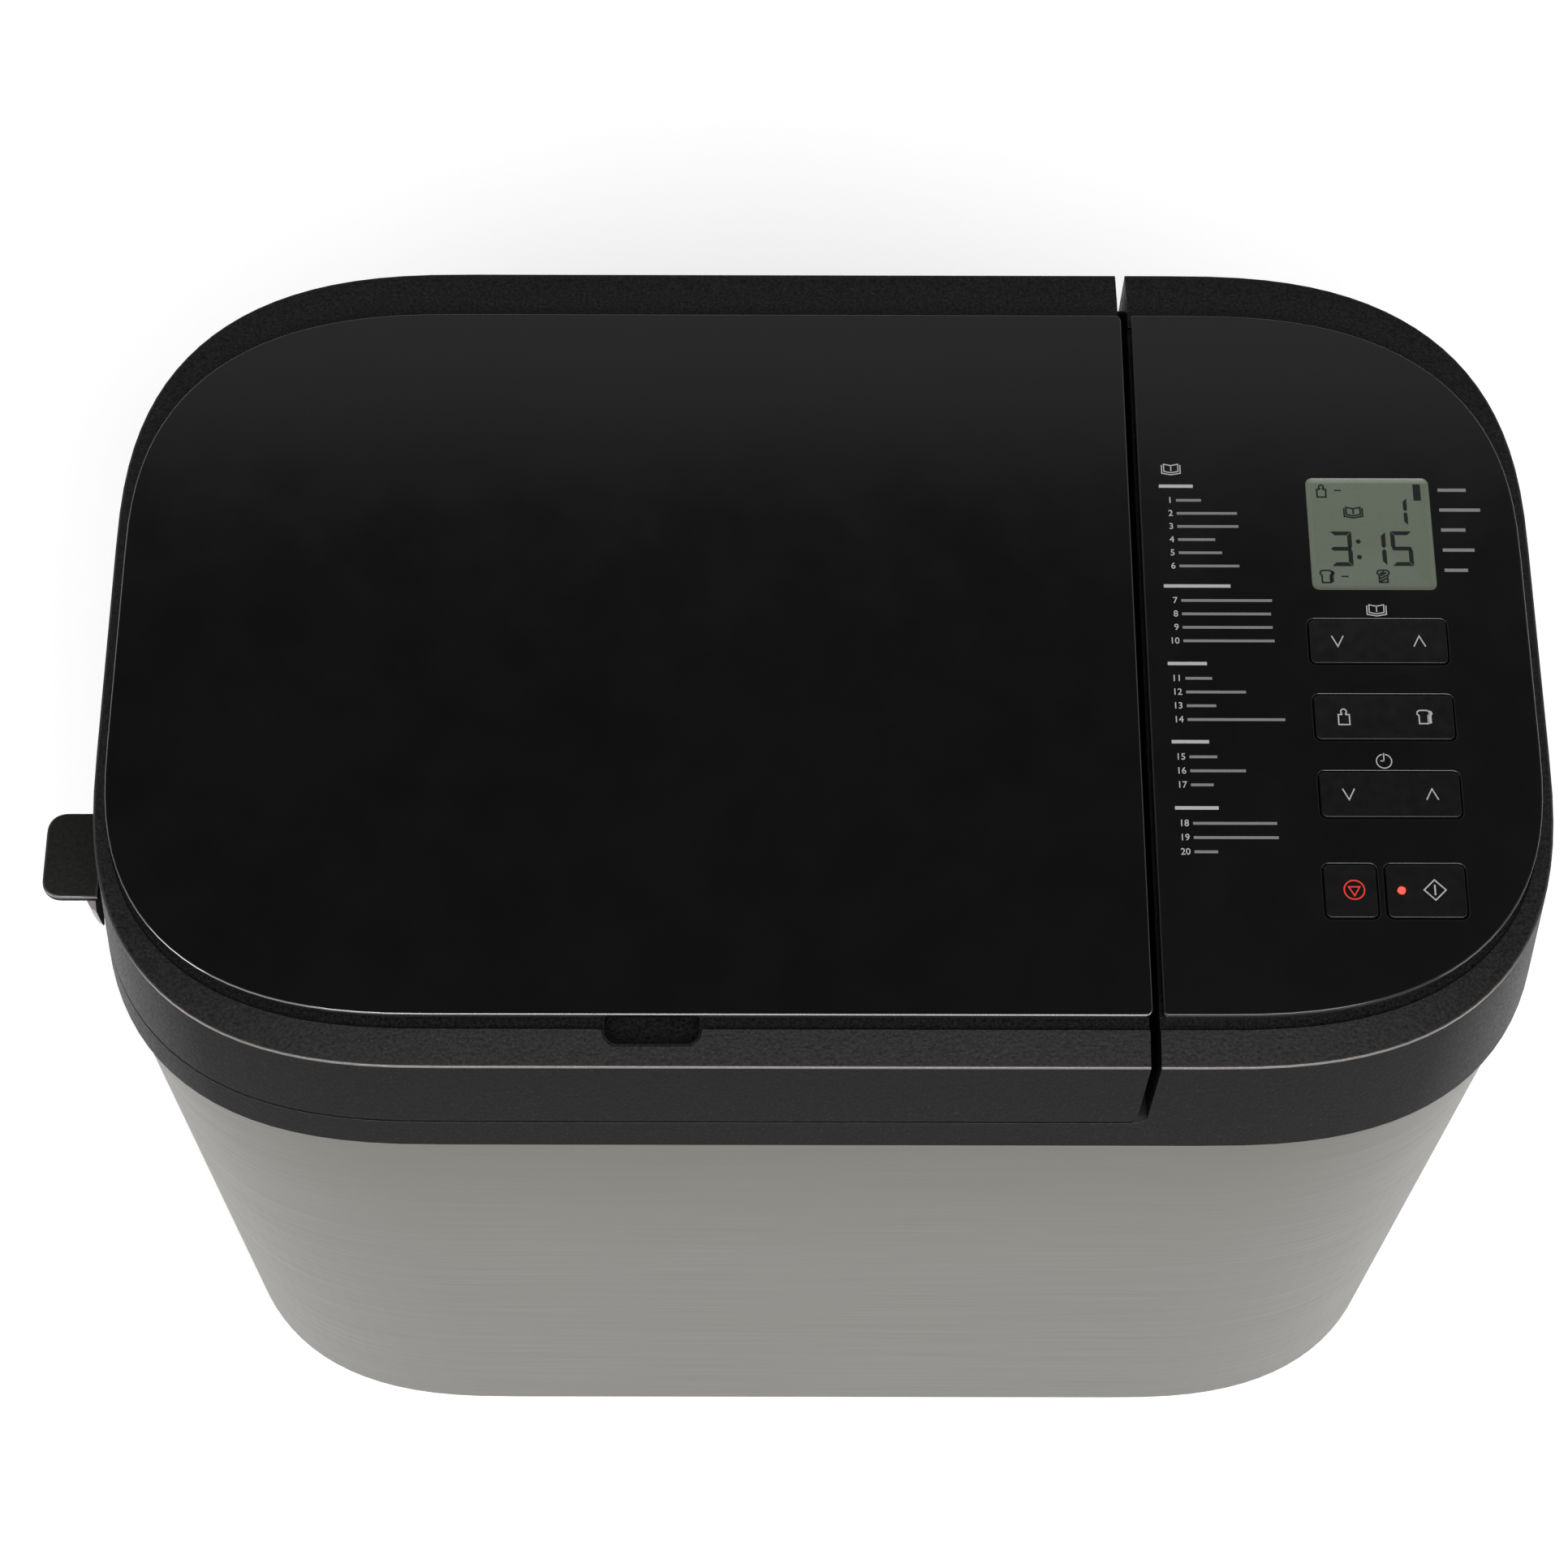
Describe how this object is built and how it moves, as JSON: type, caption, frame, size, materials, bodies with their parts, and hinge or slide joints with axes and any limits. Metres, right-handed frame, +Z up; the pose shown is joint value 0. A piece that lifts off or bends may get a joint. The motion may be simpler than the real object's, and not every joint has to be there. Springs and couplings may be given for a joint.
{
  "type": "bread machine",
  "caption": "Wide countertop bread machine with a rounded steel body, a rear-hinged lid, a dispenser cover, a key panel, a baking chamber, a lift-out pan and a belt-driven kneading blade.",
  "frame": {"origin": "on the surface it stands on, midway between the feet, which is 2 mm in front of the centre of the rounded body", "axes": "+X to the control section on the right, +Y to the hinge side at the back, +Z up"},
  "size_m": [0.424, 0.246, 0.3603],
  "materials": {
    "steel_skin": "horizontally brushed stainless sheet",
    "charcoal": "fine-textured charcoal moulding",
    "grip_black": "leather-grained black moulding",
    "gloss_black": "polished piano black",
    "key_black": "polished black keys",
    "clear_window": "clear display window",
    "display": "grey-green display glass",
    "led_red": "red indicator lens",
    "circuit_green": "soldered circuit board",
    "switch_grey": "moulded switch bodies",
    "plated_sheet": "aluminised sheet steel",
    "chassis_steel": "galvanised steel",
    "heater_sheath": "heat-tinted tube",
    "probe_steel": "turned steel",
    "ceramic_white": "white ceramic sleeve",
    "bronze": "sintered bronze",
    "coupling_metal": "die-cast coupling",
    "pulley_plastic": "glass-filled nylon",
    "pulley_metal": "turned pulley",
    "belt_rubber": "ribbed belt rubber",
    "motor_steel": "laminated core and end covers",
    "capacitor_shell": "pale moulded shell",
    "gland_black": "moulded cord gland",
    "foot_rubber": "soft rubber",
    "pan_coat": "cast aluminium with a dark non-stick coat",
    "pan_ring": "cast aluminium",
    "seal_rubber": "silicone rubber",
    "handle_wire": "plated steel wire",
    "lid_plate": "pressed aluminium",
    "dispenser_plastic": "pale heat-resistant moulding",
    "coil_copper": "wound coil on a steel frame"
  },
  "bodies": {
    "housing": {"body_wrap": "steel_skin", "base_tray": "charcoal", "feet": "foot_rubber", "case_screws": "probe_steel", "chassis_plate": "chassis_steel", "top_frame": "charcoal", "control_panel": "gloss_black", "lcd_window": "clear_window", "lcd_module": "display", "status_led": "led_red", "control_board": "circuit_green", "tact_switches": "switch_grey", "oven_chamber": "plated_sheet", "heat_shield": "plated_sheet", "heater_element": "heater_sheath", "temperature_sensor": "probe_steel", "thermal_fuse": "ceramic_white", "pan_socket": "plated_sheet", "bearing_housing": "chassis_steel", "shaft_bushes": "bronze", "drive_belt": "belt_rubber", "motor": "motor_steel", "run_capacitor": "capacitor_shell", "power_board": "circuit_green", "cord_inlet": "gland_black"},
    "drive": {"drive_shaft": "probe_steel", "lower_coupling": "coupling_metal", "large_pulley": "pulley_plastic"},
    "rotor": {"motor_shaft": "probe_steel", "motor_pulley": "pulley_metal"},
    "pan": {"bread_pan": "pan_coat", "pan_base_ring": "pan_ring", "pan_bush": "bronze", "shaft_seal": "seal_rubber"},
    "bail": {"pan_handle": "handle_wire"},
    "pan_drive": {"pan_shaft": "probe_steel", "pan_coupling": "coupling_metal"},
    "blade": {"kneading_blade": "pan_coat"},
    "lid": {"lid_shell": "charcoal", "lid_inner_plate": "lid_plate", "lid_seal": "seal_rubber", "lid_hinge_pins": "probe_steel", "lid_grip": "grip_black", "grip_bracket": "charcoal", "raisin_box": "dispenser_plastic", "raisin_solenoid": "coil_copper", "yeast_cup": "dispenser_plastic", "yeast_solenoid": "coil_copper"},
    "dispenser_cover": {"dispenser_lid": "gloss_black", "dispenser_seal": "seal_rubber", "dispenser_pins": "probe_steel"},
    "raisin_door": {"raisin_flap": "dispenser_plastic"},
    "raisin_pull": {"raisin_plunger": "probe_steel"},
    "yeast_door": {"yeast_flap": "dispenser_plastic"},
    "yeast_pull": {"yeast_plunger": "probe_steel"},
    "menu_rocker": {"menu_key": "key_black"},
    "option_rocker": {"option_key": "key_black"},
    "timer_rocker": {"timer_key": "key_black"},
    "stop_button": {"stop_key": "key_black"},
    "start_button": {"start_key": "key_black"}
  },
  "joints": [
    {"name": "lid_hinge", "type": "hinge", "parent": "housing", "child": "lid", "pos_m": [0, 0.12, 0.314], "axis": [-1, 0, 0], "range_deg": [0, 90]},
    {"name": "dispenser_lid_hinge", "type": "hinge", "parent": "lid", "child": "dispenser_cover", "pos_m": [0, 0.1015, 0.355], "axis": [-1, 0, 0], "range_deg": [0, 95]},
    {"name": "raisin_flap_hinge", "type": "hinge", "parent": "lid", "child": "raisin_door", "pos_m": [-0.142, 0, 0.303], "axis": [0, 1, 0], "range_deg": [0, 80], "stiffness_Nm_per_rad": 0.02, "springref_deg": -57.3},
    {"name": "raisin_plunger_slide", "type": "slide", "parent": "lid", "child": "raisin_pull", "axis": [1, 0, 0], "range_m": [0, 0.0062]},
    {"name": "yeast_flap_hinge", "type": "hinge", "parent": "lid", "child": "yeast_door", "pos_m": [0.033, 0, 0.303], "axis": [0, -1, 0], "range_deg": [0, 75], "stiffness_Nm_per_rad": 0.02, "springref_deg": -57.3},
    {"name": "yeast_plunger_slide", "type": "slide", "parent": "lid", "child": "yeast_pull", "axis": [0, 1, 0], "range_m": [0, 0.006]},
    {"name": "pan_lift", "type": "slide", "parent": "housing", "child": "pan", "axis": [0, 0, 1], "range_m": [0, 0.03]},
    {"name": "pan_handle_hinge", "type": "hinge", "parent": "pan", "child": "bail", "pos_m": [-0.057, 0, 0.222], "axis": [-1, 0, 0], "range_deg": [0, 180]},
    {"name": "drive_spin", "type": "hinge", "parent": "housing", "child": "drive", "pos_m": [-0.057, 0, 0.06], "axis": [0, 0, 1], "continuous": true},
    {"name": "pan_shaft_spin", "type": "hinge", "parent": "pan", "child": "pan_drive", "pos_m": [-0.057, 0, 0.1], "axis": [0, 0, 1], "continuous": true},
    {"name": "motor_spin", "type": "hinge", "parent": "housing", "child": "rotor", "pos_m": [0.132, 0, 0.06], "axis": [0, 0, 1], "continuous": true},
    {"name": "blade_lift", "type": "slide", "parent": "pan_drive", "child": "blade", "axis": [0, 0, 1], "range_m": [0, 0.05]},
    {"name": "menu_key_tilt", "type": "hinge", "parent": "housing", "child": "menu_rocker", "pos_m": [0.152, 0, 0.3565], "axis": [0, 1, 0], "range_deg": [-1.5, 1.5], "stiffness_Nm_per_rad": 0.08},
    {"name": "option_key_tilt", "type": "hinge", "parent": "housing", "child": "option_rocker", "pos_m": [0.152, -0.023, 0.3565], "axis": [0, 1, 0], "range_deg": [-1.5, 1.5], "stiffness_Nm_per_rad": 0.08},
    {"name": "timer_key_tilt", "type": "hinge", "parent": "housing", "child": "timer_rocker", "pos_m": [0.152, -0.046, 0.3565], "axis": [0, 1, 0], "range_deg": [-1.5, 1.5], "stiffness_Nm_per_rad": 0.08},
    {"name": "stop_key_press", "type": "slide", "parent": "housing", "child": "stop_button", "axis": [0, 0, -1], "range_m": [0, 0.0006], "stiffness_N_per_m": 900},
    {"name": "start_key_press", "type": "slide", "parent": "housing", "child": "start_button", "axis": [0, 0, -1], "range_m": [0, 0.0006], "stiffness_N_per_m": 900}
  ],
  "couplings": [
    {"joint": "pan_shaft_spin", "follows": "drive_spin", "ratio": 1},
    {"joint": "motor_spin", "follows": "drive_spin", "ratio": 6.4444},
    {"joint": "raisin_plunger_slide", "follows": "raisin_flap_hinge", "m_per_rad": 0.0043},
    {"joint": "yeast_plunger_slide", "follows": "yeast_flap_hinge", "m_per_rad": 0.0038}
  ]
}
